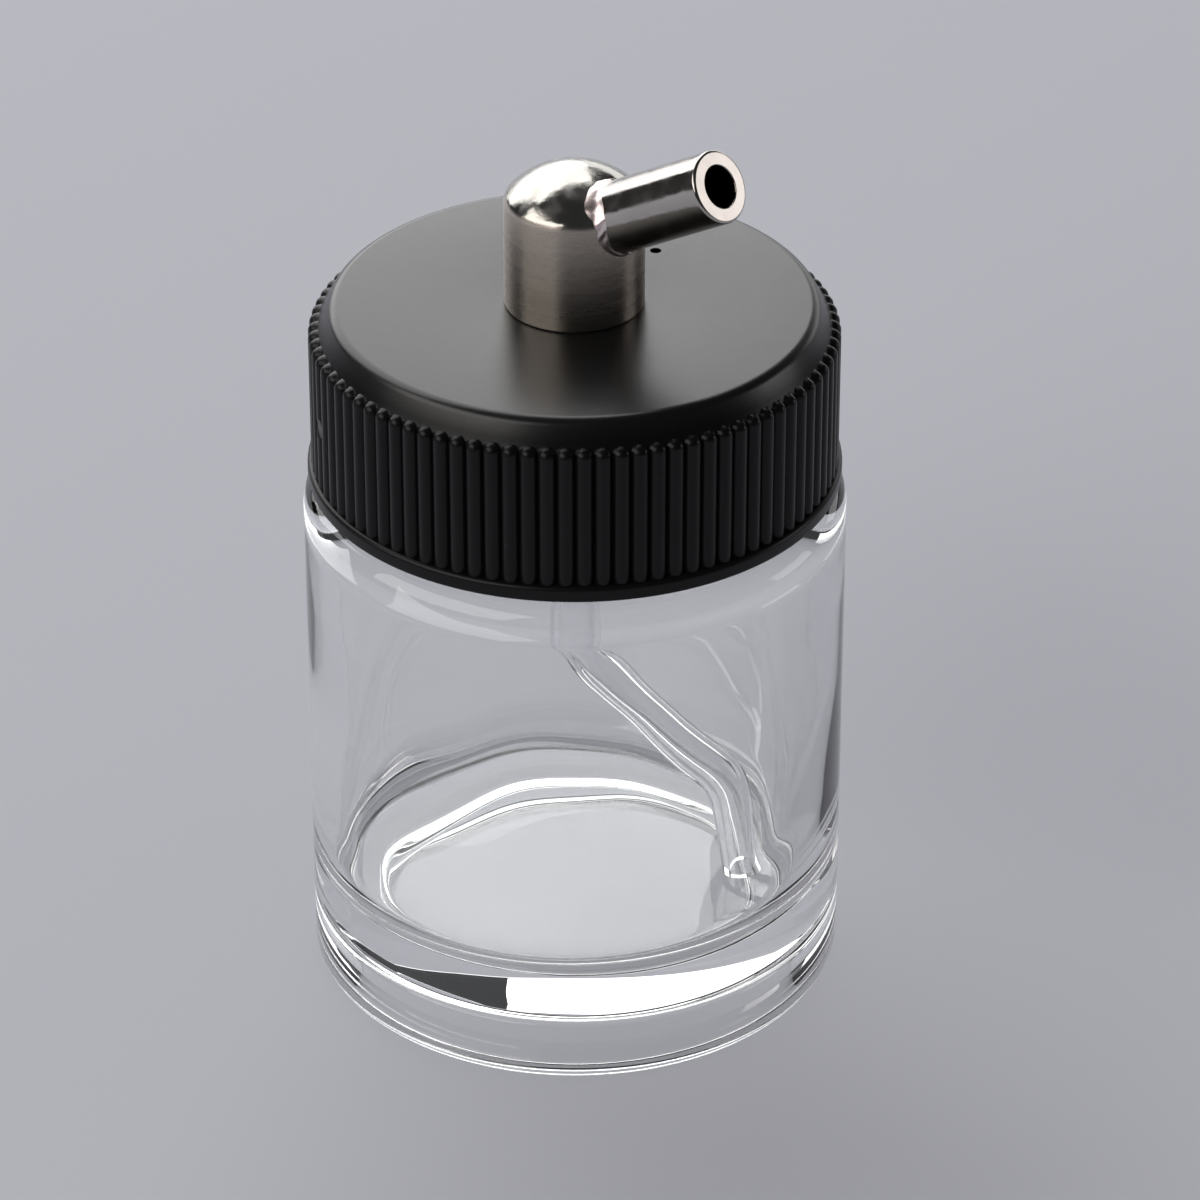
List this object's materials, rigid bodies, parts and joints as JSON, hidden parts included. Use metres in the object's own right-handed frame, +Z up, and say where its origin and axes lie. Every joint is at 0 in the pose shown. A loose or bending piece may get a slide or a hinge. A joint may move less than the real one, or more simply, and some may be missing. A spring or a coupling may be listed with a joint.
{
  "type": "airbrush siphon jar",
  "caption": "Clear glass screw-top paint jar with a ribbed black cap, a plated angled feed stem that plugs into an airbrush, and a dip tube inside.",
  "frame": {"origin": "centre of the ring that the jar stands on", "axes": "+Z up along the jar's axis; the feed stem leans out towards +X and -Y"},
  "size_m": [0.0362, 0.036, 0.0636],
  "materials": {
    "clear_glass": "clear soda-lime glass, fire-polished",
    "cap_plastic": "moulded black plastic, satin top",
    "liner": "white polyethylene foam liner",
    "turned_nickel": "nickel plate over turned brass",
    "polished_nickel": "bright nickel plate",
    "silver_braze": "plated silver solder, slightly rough",
    "zinc_steel": "zinc-plated steel",
    "clear_tube": "clear polyethylene tube"
  },
  "bodies": {
    "jar": {"jar": "clear_glass"},
    "gasket": {"cap_gasket": "liner"},
    "cap": {"cap": "cap_plastic"},
    "elbow": {"elbow_body": "turned_nickel", "feed_stem": "polished_nickel", "braze_fillet": "silver_braze", "flat_washer": "zinc_steel", "lock_nut": "zinc_steel", "dip_tube": "clear_tube"}
  },
  "joints": [
    {"name": "cap_lift", "type": "slide", "parent": "jar", "child": "gasket", "axis": [0, 0, 1], "range_m": [0, 0.0054]},
    {"name": "cap_turn", "type": "hinge", "parent": "gasket", "child": "cap", "pos_m": [0, 0, 0.045], "axis": [0, 0, 1], "range_deg": [0, 450]},
    {"name": "elbow_swivel", "type": "hinge", "parent": "cap", "child": "elbow", "pos_m": [0, 0, 0.05], "axis": [0, 0, 1], "continuous": true}
  ],
  "couplings": [
    {"joint": "cap_lift", "follows": "cap_turn", "m_per_rad": 0.00067376}
  ]
}
